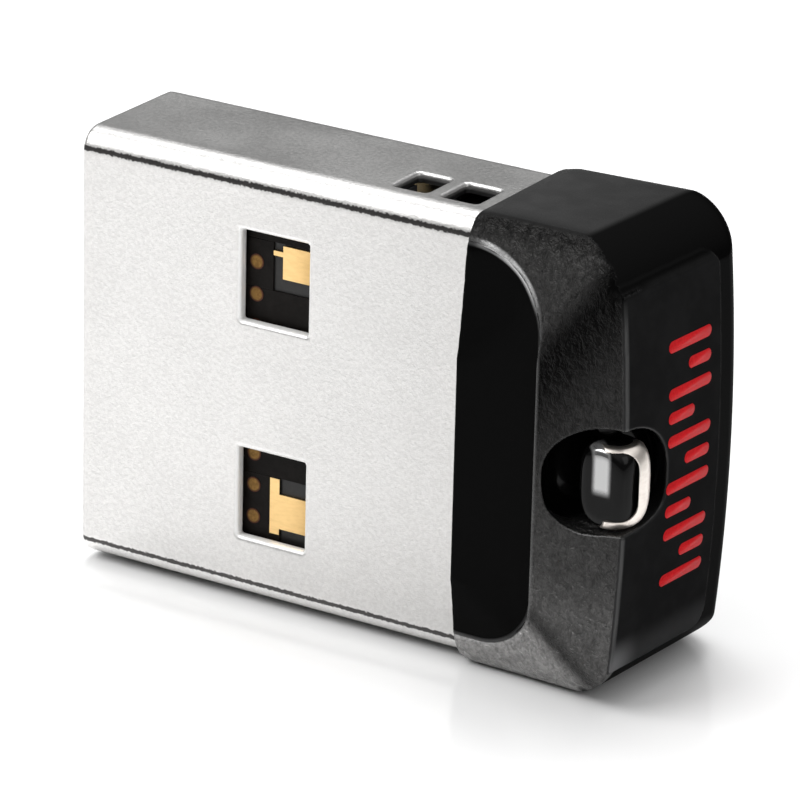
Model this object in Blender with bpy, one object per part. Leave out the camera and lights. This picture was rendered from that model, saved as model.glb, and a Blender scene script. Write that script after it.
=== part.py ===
"""Short USB flash drive: steel plug shell, moulded cap with a lanyard opening, carrier and memory module.

Sizes are in millimetres in the plug's own frame: x runs from the open tip towards the cap, y across the
thickness (the side with the finger scoop is -y) and z across the width. Solids are written in metres with
the origin at the middle of the bottom of the bounding box.
"""
import math

import bmesh
import bpy
from mathutils import Vector

MM = 0.001
FIT = 0.03

# Plug: the standard type A section.
PLUG_WIDTH = 12.0
PLUG_THICK = 4.5
PLUG_RADIUS = 0.64
PLUG_LENGTH = 11.85
SHEET = 0.3
SEAM = 0.08
WINDOW_START = 4.95
WINDOW_LENGTH = 2.1
WINDOW_INNER = 1.70
WINDOW_HEIGHT = 2.55
SLOT_SETBACKS = (2.9, 1.47)
SLOT_LENGTHS = (1.0, 1.05)
SLOT_LOW = -1.35
SLOT_HIGH = -0.05
TAB_INSET = 1.4
TAB_FRONT = 1.4
TAB_BACK = 2.1

# Cap: the moulding behind the plug.
CAP_LENGTH = 5.05
CAP_SIDE_LIP = 0.13
RIM_SIDE_LIP = 0.05
RIM_LEAD = 0.4
RIM_FRONT_LIP = 0.67
RIDGE_FRONT_LIP = 0.75
RIM_BACK_LIP = 0.6
END_BACK_LIP = 0.95
FRONT_RADIUS = 1.15
BACK_RADIUS = 1.15
END_ROUND_LENGTH = 1.4
END_ROUND_SIDE = 1.2
END_ROUND_BACK = 1.6
BACK_FULLNESS = 0.6
END_BOW = 0.009
END_TILT = 0.08
SCOOP_TOP_INSET = 0.68
SCOOP_BOTTOM_INSET = 0.93
SCOOP_REACH = 2.36
SCOOP_RIM_DEPTH = 0.07
SCOOP_END_DEPTH = 0.22
SCOOP_TOP_CORNER = 2.1
SCOOP_BOTTOM_CORNER = 1.6

# Lanyard opening: a ring-shaped tunnel round an upright post on the ridge.
LANYARD_IN_X = 1.0
LANYARD_IN_Y = 0.85
LANYARD_RADIUS = 1.61
LANYARD_HEIGHT = 2.8
LANYARD_ROUND_LOW = 0.75
LANYARD_ROUND_HIGH = 1.35
POST_RADIUS = 0.75

# Space inside the cap.
CAP_POCKET = 2.05
CAP_CORE = 4.05
CAP_CORE_WALL = 1.03
CAP_CORE_DEPTH = 2.1

# Carrier and memory module.
CARRIER_START = 0.45
CARRIER_SIDE_GAP = 0.04
CAVITY_DEPTH = 2.1
CARRIER_FLOOR = 0.35
RAIL_WIDTH = 0.41
STOP_START = 9.5
STOP_SIDE_GAP = 0.55
NOTCH_DEPTH = 0.21
BOARD_THICK = 0.25
BOARD_FRONT_GAP = 0.15
BOARD_SIDE_GAP = 0.38
BOARD_START = 0.75
MOULD_WALL = 0.45
MOULD_SKIN = 0.22

# Contacts and exposed pads.
CONTACT_THICK = 0.12
CONTACT_WIDTH = 1.0
CONTACT_END = 8.9
CONTACT_ROWS = ((3.5, 1.5), (1.0, 2.5), (-1.0, 2.5), (-3.5, 1.5))
PAD_THICK = 0.05
PAD_GAP = 0.02
TEST_PAD_X = 5.23
TEST_PAD_RADIUS = 0.21
TEST_PAD_PITCH = 0.885
TEST_PAD_COUNT = 9
TEST_PAD_MID = -0.22
GOLD_START = 5.74
GOLD_STEP = 0.29
GOLD_END = 7.9

SHELL_INNER_Y = PLUG_THICK / 2 - SHEET
SHELL_INNER_Z = PLUG_WIDTH / 2 - SHEET
SLOT_STARTS = tuple(PLUG_LENGTH - setback for setback in SLOT_SETBACKS)
TAB_HALF = PLUG_WIDTH / 2 - TAB_INSET
RIDGE_X = PLUG_LENGTH + CAP_LENGTH
CAP_HALF_WIDTH = PLUG_WIDTH / 2 + CAP_SIDE_LIP
RIM_HALF_WIDTH = PLUG_WIDTH / 2 + RIM_SIDE_LIP
RIM_FRONT = PLUG_THICK / 2 + RIM_FRONT_LIP
RIDGE_FRONT = PLUG_THICK / 2 + RIDGE_FRONT_LIP
RIM_BACK = PLUG_THICK / 2 + RIM_BACK_LIP
END_BACK = PLUG_THICK / 2 + END_BACK_LIP
END_ROUND_START = RIDGE_X - END_ROUND_LENGTH
SCOOP_TOP = CAP_HALF_WIDTH - SCOOP_TOP_INSET
SCOOP_BOTTOM = CAP_HALF_WIDTH - SCOOP_BOTTOM_INSET
CAP_CORE_HALF = CAP_HALF_WIDTH - CAP_CORE_WALL
CAP_CORE_LOW = SHELL_INNER_Y - CAP_CORE_DEPTH
CARRIER_HALF = SHELL_INNER_Z - CARRIER_SIDE_GAP
CARRIER_FACE = SHELL_INNER_Y - CAVITY_DEPTH
STOP_HALF = SHELL_INNER_Z - STOP_SIDE_GAP
BOARD_HALF = SHELL_INNER_Z - BOARD_SIDE_GAP
BOARD_FRONT = -SHELL_INNER_Y + BOARD_FRONT_GAP
BOARD_BACK = BOARD_FRONT + BOARD_THICK
FLOOR_UNDER = CARRIER_FACE - CARRIER_FLOOR
CARRIER_END = PLUG_LENGTH + CAP_POCKET - 0.06
BOARD_END = CARRIER_END - 0.05
MOULD_START = BOARD_START + 0.2
MOULD_END = BOARD_END - 0.12
MOULD_HALF = CARRIER_HALF - RAIL_WIDTH - FIT
MOULD_FRONT = BOARD_BACK + FIT
MOULD_BACK = FLOOR_UNDER - FIT


def cap_section(x, front, back, half, bow):
    """Rounded rectangle across the cap; bow scales how far the end face's curve and tilt move each point."""
    corners = ((back - BACK_RADIUS, half - BACK_RADIUS, BACK_RADIUS, 0),
               (FRONT_RADIUS - front, half - FRONT_RADIUS, FRONT_RADIUS, 90),
               (FRONT_RADIUS - front, FRONT_RADIUS - half, FRONT_RADIUS, 180),
               (back - BACK_RADIUS, BACK_RADIUS - half, BACK_RADIUS, 270))
    points = []
    for cy, cz, radius, start in corners:
        for k in range(7):
            angle = math.radians(start + 90 * k / 6)
            y = cy + radius * math.cos(angle)
            z = cz + radius * math.sin(angle)
            points.append((x + bow * (END_TILT * (y + RIDGE_FRONT) - END_BOW * z * z), y, z))
    return points


def cap_points():
    """Points whose convex hull is the outside of the cap before the scoop and the lanyard opening."""
    points = cap_section(PLUG_LENGTH, RIM_FRONT, RIM_BACK, RIM_HALF_WIDTH, 0.0)
    stations = [(PLUG_LENGTH + RIM_LEAD, CAP_HALF_WIDTH, 0.0, 0.0)]
    for k in range(8):
        turn = k / 7 * math.pi / 2
        drop = 1 - math.cos(turn)
        stations.append((END_ROUND_START + (RIDGE_X - END_ROUND_START) * math.sin(turn),
                         CAP_HALF_WIDTH - END_ROUND_SIDE * drop, END_ROUND_BACK * drop ** BACK_FULLNESS, k / 7))
    for x, half, back_drop, bow in stations:
        run = (x - PLUG_LENGTH) / (RIDGE_X - PLUG_LENGTH)
        front = RIM_FRONT + (RIDGE_FRONT - RIM_FRONT) * run
        back = RIM_BACK + (END_BACK - RIM_BACK) * run - back_drop
        points += cap_section(x, front, back, half, bow)
    return points


X_MID = max(point[0] for point in cap_points()) / 2
Y_MID = (max(point[1] for point in cap_points()) + min(point[1] for point in cap_points())) / 2


def clear_scene():
    for obj in list(bpy.data.objects):
        bpy.data.objects.remove(obj, do_unlink=True)


def place(x, y, z):
    return Vector(((x - X_MID) * MM, (y - Y_MID) * MM, (z + CAP_HALF_WIDTH) * MM))


def material(name, colour, metallic, roughness):
    mat = bpy.data.materials.new(name)
    mat.use_nodes = True
    shader = mat.node_tree.nodes["Principled BSDF"]
    shader.inputs["Base Color"].default_value = (*colour, 1.0)
    shader.inputs["Metallic"].default_value = metallic
    shader.inputs["Roughness"].default_value = roughness
    return mat


def prism(name, outline, axis, low, high):
    """Extrude a closed outline along one axis; the outline is given in the two other axes, in order."""
    order = {"X": lambda a, u, v: (a, u, v), "Y": lambda a, u, v: (u, a, v), "Z": lambda a, u, v: (u, v, a)}
    spot = order[axis]
    bm = bmesh.new()
    first = [bm.verts.new(place(*spot(low, u, v))) for u, v in outline]
    last = [bm.verts.new(place(*spot(high, u, v))) for u, v in outline]
    bm.faces.new(first)
    bm.faces.new(list(reversed(last)))
    count = len(outline)
    for i in range(count):
        j = (i + 1) % count
        bm.faces.new((first[i], first[j], last[j], last[i]))
    bmesh.ops.recalc_face_normals(bm, faces=bm.faces)
    mesh = bpy.data.meshes.new(name)
    bm.to_mesh(mesh)
    bm.free()
    obj = bpy.data.objects.new(name, mesh)
    bpy.context.scene.collection.objects.link(obj)
    return obj


def rounded(u0, u1, v0, v1, radius, steps=6):
    corners = ((u1 - radius, v1 - radius, 0), (u0 + radius, v1 - radius, 90),
               (u0 + radius, v0 + radius, 180), (u1 - radius, v0 + radius, 270))
    points = []
    for cu, cv, start in corners:
        for k in range(steps + 1):
            angle = math.radians(start + 90 * k / steps)
            points.append((cu + radius * math.cos(angle), cv + radius * math.sin(angle)))
    return points


def rectangle(u0, u1, v0, v1):
    return [(u0, v0), (u1, v0), (u1, v1), (u0, v1)]


def circle(cu, cv, radius, steps):
    return [(cu + radius * math.cos(math.tau * k / steps), cv + radius * math.sin(math.tau * k / steps))
            for k in range(steps)]


def box(name, x0, x1, y0, y1, z0, z1):
    return prism(name, rectangle(y0, y1, z0, z1), "X", x0, x1)


def combine(obj, tool, operation):
    tool.hide_render = True
    tool.display_type = "WIRE"
    mod = obj.modifiers.new(operation.title(), "BOOLEAN")
    mod.operation = operation
    mod.solver = "EXACT"
    mod.object = tool


def finish(obj, mat, smooth=False):
    obj.data.materials.append(mat)
    for face in obj.data.polygons:
        face.use_smooth = smooth
    if smooth:
        obj.data.set_sharp_from_angle(angle=math.radians(35))
    return obj


def plug_shell():
    end = PLUG_LENGTH + TAB_BACK
    half_y = PLUG_THICK / 2
    half_z = PLUG_WIDTH / 2
    shell = prism("plug_shell", rounded(-half_y, half_y, -half_z, half_z, PLUG_RADIUS), "X", 0.0, end)
    bore = prism("cut_shell_bore", rounded(-SHELL_INNER_Y, SHELL_INNER_Y, -SHELL_INNER_Z, SHELL_INNER_Z,
                                           PLUG_RADIUS - SHEET), "X", -1.0, end + 1.0)
    combine(shell, bore, "DIFFERENCE")
    for side in (-1, 1):
        low, high = sorted((side * TAB_HALF, side * (half_z + 1.0)))
        sides = box("cut_shell_side_%d" % (side + 1), PLUG_LENGTH - FIT, end + 1.0, -4.0, 4.0, low, high)
        combine(shell, sides, "DIFFERENCE")
        low, high = sorted((side * WINDOW_INNER, side * (WINDOW_INNER + WINDOW_HEIGHT)))
        windows = prism("cut_windows_%d" % (side + 1),
                        rounded(WINDOW_START, WINDOW_START + WINDOW_LENGTH, low, high, 0.1, 2), "Y", -4.0, 4.0)
        combine(shell, windows, "DIFFERENCE")
    for number, (start, length) in enumerate(zip(SLOT_STARTS, SLOT_LENGTHS)):
        slots = prism("cut_slots_%d" % number, rounded(start, start + length, SLOT_LOW, SLOT_HIGH, 0.12, 2),
                      "Z", -8.0, 8.0)
        combine(shell, slots, "DIFFERENCE")
    front = box("cut_front_tab", PLUG_LENGTH + TAB_FRONT, end + 1.0, -4.0, 0.0, -8.0, 8.0)
    combine(shell, front, "DIFFERENCE")
    seam = box("cut_seam", -1.0, end + 1.0, 1.0, 4.0, -SEAM / 2, SEAM / 2)
    combine(shell, seam, "DIFFERENCE")
    return finish(shell, material("shell_steel", (0.62, 0.62, 0.60), 1.0, 0.35), True)


def cap_outside():
    """Closed convex body through the cap's points."""
    bm = bmesh.new()
    for x, y, z in cap_points():
        bm.verts.new(place(x, y, z))
    bmesh.ops.convex_hull(bm, input=bm.verts)
    loose = [vert for vert in bm.verts if not vert.link_faces]
    bmesh.ops.delete(bm, geom=loose, context="VERTS")
    bmesh.ops.dissolve_limit(bm, angle_limit=math.radians(0.2), verts=bm.verts, edges=bm.edges)
    bmesh.ops.recalc_face_normals(bm, faces=bm.faces)
    mesh = bpy.data.meshes.new("cap_housing")
    bm.to_mesh(mesh)
    bm.free()
    obj = bpy.data.objects.new("cap_housing", mesh)
    bpy.context.scene.collection.objects.link(obj)
    return obj


def scoop_cutter():
    """Shallow finger scoop beside the plug, deeper towards its curved inner border."""
    start = PLUG_LENGTH - 1.0
    end = PLUG_LENGTH + SCOOP_REACH
    plan = [(start, -SCOOP_BOTTOM)]
    for radius, middle, turn in ((SCOOP_BOTTOM_CORNER, SCOOP_BOTTOM_CORNER - SCOOP_BOTTOM, -90),
                                 (SCOOP_TOP_CORNER, SCOOP_TOP - SCOOP_TOP_CORNER, 0)):
        for k in range(7):
            angle = math.radians(turn + 90 * k / 6)
            plan.append((end - radius + radius * math.cos(angle), middle + radius * math.sin(angle)))
    plan.append((start, SCOOP_TOP))
    cutter = prism("cut_scoop", plan, "Y", -4.0, -RIM_FRONT)
    slope = (SCOOP_END_DEPTH - SCOOP_RIM_DEPTH) / SCOOP_REACH
    surface = -RIM_FRONT * MM - Y_MID * MM
    for vert in cutter.data.vertices:
        if vert.co.y > surface - 0.0001:
            run = vert.co.x / MM + X_MID - PLUG_LENGTH
            vert.co.y = (-RIM_FRONT + SCOOP_RIM_DEPTH + slope * run - Y_MID) * MM
    return cutter


def drum(name, cx, cy, profile, steps):
    """Closed body turned about an upright axis from (radius, height) points listed from bottom to top."""
    bm = bmesh.new()
    rings = []
    for radius, z in profile:
        ring = [bm.verts.new(place(cx + radius * math.cos(math.tau * k / steps),
                                   cy + radius * math.sin(math.tau * k / steps), z)) for k in range(steps)]
        rings.append(ring)
    bm.faces.new(list(reversed(rings[0])))
    bm.faces.new(rings[-1])
    for low, high in zip(rings, rings[1:]):
        for k in range(steps):
            j = (k + 1) % steps
            bm.faces.new((low[k], low[j], high[j], high[k]))
    bmesh.ops.recalc_face_normals(bm, faces=bm.faces)
    mesh = bpy.data.meshes.new(name)
    bm.to_mesh(mesh)
    bm.free()
    obj = bpy.data.objects.new(name, mesh)
    bpy.context.scene.collection.objects.link(obj)
    return obj


def lanyard_cutter():
    """Ring-shaped tunnel: a drum with rounded ends and the post left standing in its middle."""
    cx = RIDGE_X - LANYARD_IN_X
    cy = -RIDGE_FRONT + LANYARD_IN_Y
    half = LANYARD_HEIGHT / 2
    profile = []
    for side, edge in ((-1, LANYARD_ROUND_LOW), (1, LANYARD_ROUND_HIGH)):
        arc = []
        for k in range(7):
            angle = math.radians(90 * k / 6)
            arc.append((LANYARD_RADIUS - edge + edge * math.cos(angle), side * (half - edge + edge * math.sin(angle))))
        profile += arc if side > 0 else list(reversed(arc))
    tunnel = drum("cut_lanyard", cx, cy, profile, 40)
    post = prism("keep_post", circle(cx, cy, POST_RADIUS, 24), "Z", -LANYARD_HEIGHT, LANYARD_HEIGHT)
    combine(tunnel, post, "DIFFERENCE")
    return tunnel


def cap_housing():
    cap = cap_outside()
    combine(cap, scoop_cutter(), "DIFFERENCE")
    pocket_y = SHELL_INNER_Y + FIT
    pocket_z = CARRIER_HALF + 0.04
    combine(cap, box("cut_pocket", PLUG_LENGTH - 1.0, PLUG_LENGTH + CAP_POCKET, -pocket_y, pocket_y,
                     -pocket_z, pocket_z), "DIFFERENCE")
    combine(cap, box("cut_core", PLUG_LENGTH - 1.0, PLUG_LENGTH + CAP_CORE, CAP_CORE_LOW, pocket_y - 0.05,
                     -CAP_CORE_HALF, CAP_CORE_HALF), "DIFFERENCE")
    tab_y = PLUG_THICK / 2 + FIT
    tab_z = TAB_HALF + FIT
    combine(cap, box("cut_front_pocket", PLUG_LENGTH - 1.0, PLUG_LENGTH + TAB_FRONT + FIT, -tab_y, 0.0,
                     -tab_z, tab_z), "DIFFERENCE")
    combine(cap, box("cut_back_pocket", PLUG_LENGTH - 1.0, PLUG_LENGTH + TAB_BACK + FIT, 0.0, tab_y,
                     -tab_z, tab_z), "DIFFERENCE")
    combine(cap, lanyard_cutter(), "DIFFERENCE")
    return finish(cap, material("cap_plastic", (0.02, 0.02, 0.02), 0.0, 0.45), True)


def carrier():
    tray = box("carrier", CARRIER_START, CARRIER_END, MOULD_FRONT, CARRIER_FACE, -CARRIER_HALF, CARRIER_HALF)
    inner = CARRIER_HALF - RAIL_WIDTH
    combine(tray, box("cut_tray", BOARD_START + 0.05, CARRIER_END + 1.0, -4.0, FLOOR_UNDER, -inner, inner),
            "DIFFERENCE")
    stop = prism("join_stop", rounded(FLOOR_UNDER + 0.1, SHELL_INNER_Y - FIT, -STOP_HALF, STOP_HALF, 0.2, 3),
                 "X", STOP_START, CARRIER_END - 0.3)
    combine(tray, stop, "UNION")
    for side in (-1, 1):
        low, high = sorted((side * (CARRIER_HALF - NOTCH_DEPTH), side * (CARRIER_HALF + 1.0)))
        start = SLOT_STARTS[0]
        end = SLOT_STARTS[1] + SLOT_LENGTHS[1]
        notch = box("cut_notch_%d" % (side + 1), start, end, SLOT_LOW, SLOT_HIGH + 1.0, low, high)
        combine(tray, notch, "DIFFERENCE")
    return finish(tray, material("carrier_plastic", (0.03, 0.03, 0.035), 0.0, 0.5))


def module_board():
    outline = rounded(BOARD_START, BOARD_END, -BOARD_HALF, BOARD_HALF, 0.3, 3)
    board = prism("module_board", outline, "Y", BOARD_FRONT, BOARD_BACK)
    return finish(board, material("board_mask", (0.02, 0.018, 0.016), 0.0, 0.4))


def mould_body():
    body = box("mould_body", MOULD_START, MOULD_END, MOULD_FRONT, MOULD_BACK, -MOULD_HALF, MOULD_HALF)
    pocket = box("cut_mould", MOULD_START + MOULD_WALL, MOULD_END - MOULD_WALL, -4.0, MOULD_BACK - MOULD_SKIN,
                 -MOULD_HALF + MOULD_WALL, MOULD_HALF - MOULD_WALL)
    combine(body, pocket, "DIFFERENCE")
    return finish(body, material("mould_epoxy", (0.015, 0.015, 0.015), 0.0, 0.6))


def chip(name, x0, length, z_mid, width, level, thick, colour):
    """A small block standing on the back of the board at a given height above it."""
    y0 = MOULD_FRONT + level
    obj = box(name, x0, x0 + length, y0, y0 + thick, z_mid - width / 2, z_mid + width / 2)
    return finish(obj, material(name + "_body", colour, 0.0, 0.45))


def module_chips():
    chip("memory_die_lower", 1.8, 6.2, 0.0, 8.6, 0.0, 0.22, (0.20, 0.21, 0.24))
    chip("memory_die_upper", 2.2, 6.2, 0.0, 8.6, 0.22 + FIT, 0.22, (0.22, 0.23, 0.26))
    chip("controller_die", 9.0, 2.4, 0.0, 3.0, 0.0, 0.25, (0.16, 0.17, 0.20))
    chip("oscillator", 9.2, 1.6, 3.5, 1.2, 0.0, 0.4, (0.55, 0.55, 0.52))
    chip("capacitor_1", 9.2, 1.0, -2.6, 0.5, 0.0, 0.5, (0.42, 0.30, 0.18))
    chip("capacitor_2", 9.2, 1.0, -3.6, 0.5, 0.0, 0.5, (0.42, 0.30, 0.18))
    chip("capacitor_3", 11.9, 0.5, 2.6, 1.0, 0.0, 0.5, (0.42, 0.30, 0.18))
    chip("resistor_1", 11.9, 0.6, 0.9, 0.3, 0.0, 0.23, (0.03, 0.03, 0.03))
    chip("resistor_2", 11.9, 0.6, -0.3, 0.3, 0.0, 0.23, (0.03, 0.03, 0.03))
    chip("resistor_3", 11.9, 0.6, -1.5, 0.3, 0.0, 0.23, (0.03, 0.03, 0.03))


def contacts():
    y0 = CARRIER_FACE + FIT
    half = CONTACT_WIDTH / 2
    for number, (row, start) in enumerate(CONTACT_ROWS, 1):
        outline = [(start, row - half * 0.6), (start + 0.3, row - half), (CONTACT_END, row - half),
                   (CONTACT_END, row + half), (start + 0.3, row + half), (start, row + half * 0.6)]
        finger = prism("contact_%d" % number, outline, "Y", y0, y0 + CONTACT_THICK)
        finish(finger, material("contact_gold_%d" % number, (0.80, 0.58, 0.25), 1.0, 0.25))


def test_pads():
    high = BOARD_FRONT - PAD_GAP
    for number in range(TEST_PAD_COUNT):
        z = TEST_PAD_MID + (TEST_PAD_COUNT // 2 - number) * TEST_PAD_PITCH
        pad = prism("test_pad_%d" % (number + 1), circle(TEST_PAD_X, z, TEST_PAD_RADIUS, 20), "Y",
                    high - PAD_THICK, high)
        finish(pad, material("test_pad_gold_%d" % (number + 1), (0.35, 0.22, 0.08), 1.0, 0.45))


def gold_pads():
    high = BOARD_FRONT - PAD_GAP
    inner = GOLD_START + GOLD_STEP
    upper = [(GOLD_START, 3.60), (inner, 3.60), (inner, 3.0), (GOLD_END, 3.0), (GOLD_END, 3.90), (inner, 3.90),
             (inner, 3.73), (GOLD_START, 3.73)]
    lower = [(GOLD_START, -4.12), (inner, -4.12), (inner, -3.95), (GOLD_END, -3.95), (GOLD_END, -2.98),
             (inner, -2.98), (inner, -2.56), (GOLD_START, -2.56)]
    for name, outline in (("gold_pad_upper", upper), ("gold_pad_lower", lower)):
        pad = prism(name, outline, "Y", high - PAD_THICK, high)
        finish(pad, material(name + "_metal", (0.85, 0.62, 0.30), 1.0, 0.25))


clear_scene()
plug_shell()
cap_housing()
carrier()
module_board()
mould_body()
module_chips()
contacts()
test_pads()
gold_pads()
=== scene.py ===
"""Looks for the short USB flash drive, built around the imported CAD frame.

Shapes are worked out in millimetres in the plug's own frame, whose origin comes from the CAD shell's box:
x runs from the open tip to the cap, y across the thickness (the scoop side is -y), z across the width.
"""
import math

import bmesh
import bpy
import numpy as np
from mathutils import Matrix, Vector


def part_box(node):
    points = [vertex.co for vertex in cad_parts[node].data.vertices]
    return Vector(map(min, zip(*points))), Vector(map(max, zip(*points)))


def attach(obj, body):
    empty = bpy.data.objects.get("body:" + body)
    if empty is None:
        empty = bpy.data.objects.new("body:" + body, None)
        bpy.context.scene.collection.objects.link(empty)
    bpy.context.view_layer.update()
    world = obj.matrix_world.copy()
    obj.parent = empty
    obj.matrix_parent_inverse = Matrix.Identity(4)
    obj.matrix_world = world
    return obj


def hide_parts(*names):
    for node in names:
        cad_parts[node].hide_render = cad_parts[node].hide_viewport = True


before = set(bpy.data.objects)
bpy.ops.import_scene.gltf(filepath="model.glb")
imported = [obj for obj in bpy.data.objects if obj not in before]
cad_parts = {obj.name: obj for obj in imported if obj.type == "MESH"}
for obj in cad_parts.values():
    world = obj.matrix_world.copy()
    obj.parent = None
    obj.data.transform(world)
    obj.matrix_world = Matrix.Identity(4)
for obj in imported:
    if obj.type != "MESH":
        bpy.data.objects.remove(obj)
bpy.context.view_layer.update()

MM = 0.001

shell_low, shell_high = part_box("plug_shell")
cap_low, cap_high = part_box("cap_housing")
board_low, board_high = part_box("module_board")
origin = Vector((shell_low.x, (shell_low.y + shell_high.y) / 2, (shell_low.z + shell_high.z) / 2))

PLUG_Y = (shell_high.y - shell_low.y) / 2 / MM
PLUG_Z = (shell_high.z - shell_low.z) / 2 / MM
RIM_X = (cap_low.x - origin.x) / MM
CAP_Z = (cap_high.z - origin.z) / MM
BOARD_Y = (board_low.y - origin.y) / MM

# Plug shell: corner radius, sheet, windows (x and z ranges), side slots (x ranges, then y range).
PLUG_RADIUS = 0.64
SHEET = 0.3
WINDOWS = (4.97, 7.03, 1.76, 4.25)
SLOTS = ((8.95, 9.95), (10.38, 11.43))
SLOT_LOW, SLOT_HIGH = -1.35, -0.05
NARROW_Z = 5.0

# Cap: length to the ridge, distances of the front and back faces at the rim and at the end, lean and bow of
# the end face, sizes of the rounded edges, and the pocket that takes the plug.
CAP_LENGTH = 5.05
RIDGE_X = RIM_X + CAP_LENGTH
RIM_FRONT, RIDGE_FRONT = 2.92, 3.0
RIM_BACK, END_BACK = 2.85, 3.2
RIM_Z = PLUG_Z + 0.05
RIM_LEAD = 0.4
END_TILT, END_BOW = 0.08, 0.009
SIDE_ROUND, BACK_ROUND, END_ROUND, FRONT_ROUND, RIDGE_ROUND, RIM_ROUND = 1.25, 1.5, 1.6, 1.05, 0.07, 0.06
CORNER_POWER, CORNER_SCALE = 1.5, 1.3
POCKET_Y, POCKET_Z, POCKET_DEPTH = 1.98, 5.7, 2.05

# Creases of the scoop side: height at the scoop, rise toward the ridge, slope beyond, length of the bend.
UPPER_CREASE = (2.7, 2.4, 0.16, 0.7)
LOWER_CREASE = (3.7, 1.6, 0.17, 0.6)

# Sunk panel on the end face, finger scoop and lanyard opening with its bar.
PANEL_EDGE_Y, PANEL_LOW, PANEL_HIGH, PANEL_SINK = 1.2, -4.95, 5.25, 0.035
SCOOP_X, SCOOP_TOP, SCOOP_BOTTOM = RIM_X + 2.36, 5.45, 5.2
SCOOP_TOP_CORNER, SCOOP_BOTTOM_CORNER = 2.1, 1.6
SCOOP_DEPTH, SCOOP_RUN = 0.05, 0.20
LIP_THIN, LIP_EXTRA = 0.05, 0.17
MOUTH_MID, MOUTH_HALF, MOUTH_UP, MOUTH_DOWN, MOUTH_DEPTH = -0.12, 1.53, 1.58, 1.42, 2.3
MOUTH_LIFT, MOUTH_ROUND = 0.22, 0.08
ARCH_LEFT, ARCH_RIGHT, ARCH_FOOT = 1.8, 2.2, 3.4
KNOB_DEPTH, KNOB_Z, KNOB_R, KNOB_HALF, KNOB_POWER = 0.98, -0.05, 0.86, 1.14, 3.2
STEM_SHIFT, STEM_DEPTH, STEM_R = 0.1, 0.5, 0.32

# Board recesses round the gold pads (x and z ranges) and the strips of solder mask about them.
UPPER_RECESS = (5.73, 8.0, 2.62, 3.95)
LOWER_RECESS = (6.05, 8.0, -4.3, -2.54)
MASK_X, MASK_Z = (0.9, 12.0), 5.1
MASK_FRONT, MASK_BACK, MASK_BEVEL = 0.055, 0.004, 0.012

# Printed bars on the end face: middle (y), height (z) and length.
MARK_BARS = ((-0.18, 3.25, 1.9), (0.25, 2.62, 1.0), (-0.18, 1.99, 1.9), (-0.55, 1.36, 1.15),
             (-0.18, 0.73, 1.9), (0.20, 0.10, 1.1), (-0.18, -0.53, 1.9), (-0.55, -1.16, 1.15),
             (-0.18, -1.79, 1.9), (0.2, -2.42, 1.1), (-0.18, -3.05, 1.9))
MARK_RADIUS, MARK_FOOT, MARK_RISE = 0.16, 0.002, 0.012

FLOOR_HALF, FLOOR_CELLS, FLOOR_GAP = 3.0, 24, 0.00002
BLACK, WHITE = (0, 0, 0), (1, 1, 1)


def spot(x, y, z):
    """A point of the plug's frame, given in millimetres, in the row frame."""
    return Vector((x, y, z)) * MM + origin


# ---------------------------------------------------------------- shapes

def both(a, b, radius):
    """Intersection of two distance fields with a round outer edge."""
    inner = np.minimum(-radius, np.maximum(a, b))
    return inner + np.hypot(np.maximum(a + radius, 0), np.maximum(b + radius, 0))


def plan(u, v, low_u, high_u, low_v, high_v, radius):
    """Distance to a rounded rectangle in a plane."""
    du = np.abs(u - (low_u + high_u) / 2) - (high_u - low_u) / 2 + radius
    dv = np.abs(v - (low_v + high_v) / 2) - (high_v - low_v) / 2 + radius
    return np.minimum(np.maximum(du, dv), 0) + np.hypot(np.maximum(du, 0), np.maximum(dv, 0)) - radius


def ease(value, low, high):
    """Smooth step from 0 at low to 1 at high."""
    t = np.clip((value - low) / (high - low), 0, 1)
    return t * t * (3 - 2 * t)


def gradient(field, points, gap=0.002):
    """Slope of a field at each point, by central differences."""
    parts = []
    for axis in range(3):
        step = np.zeros(3)
        step[axis] = gap
        parts.append((field(points + step) - field(points - step)) / (2 * gap))
    return np.stack(parts, -1)


def settle(field, points, reach, rounds=3):
    """Pulls points onto the zero surface of a field."""
    for _ in range(rounds):
        slope = gradient(field, points)
        move = field(points)[:, None] * slope / np.maximum((slope * slope).sum(1), 0.2)[:, None]
        length = np.linalg.norm(move, axis=1, keepdims=True)
        points = points - move * np.minimum(1, reach / np.maximum(length, 1e-9))
    return points


def sample(field, lines, step, block=3):
    """Field values on a grid, worked out finely only in the blocks near the surface."""
    middles = [line[::block] + step * (block - 1) / 2 for line in lines]
    coarse = field(np.stack(np.meshgrid(*middles, indexing="ij"), -1).reshape(-1, 3))
    coarse = coarse.reshape([len(m) for m in middles])
    fine = tuple(slice(0, len(line)) for line in lines)
    value = coarse.repeat(block, 0).repeat(block, 1).repeat(block, 2)[fine].copy()
    place = np.argwhere(np.abs(value) < 1.7 * block * step)
    for part in np.array_split(place, max(1, len(place) // 200000)):
        points = np.stack([lines[axis][part[:, axis]] for axis in range(3)], 1)
        value[part[:, 0], part[:, 1], part[:, 2]] = field(points)
    return value


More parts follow.
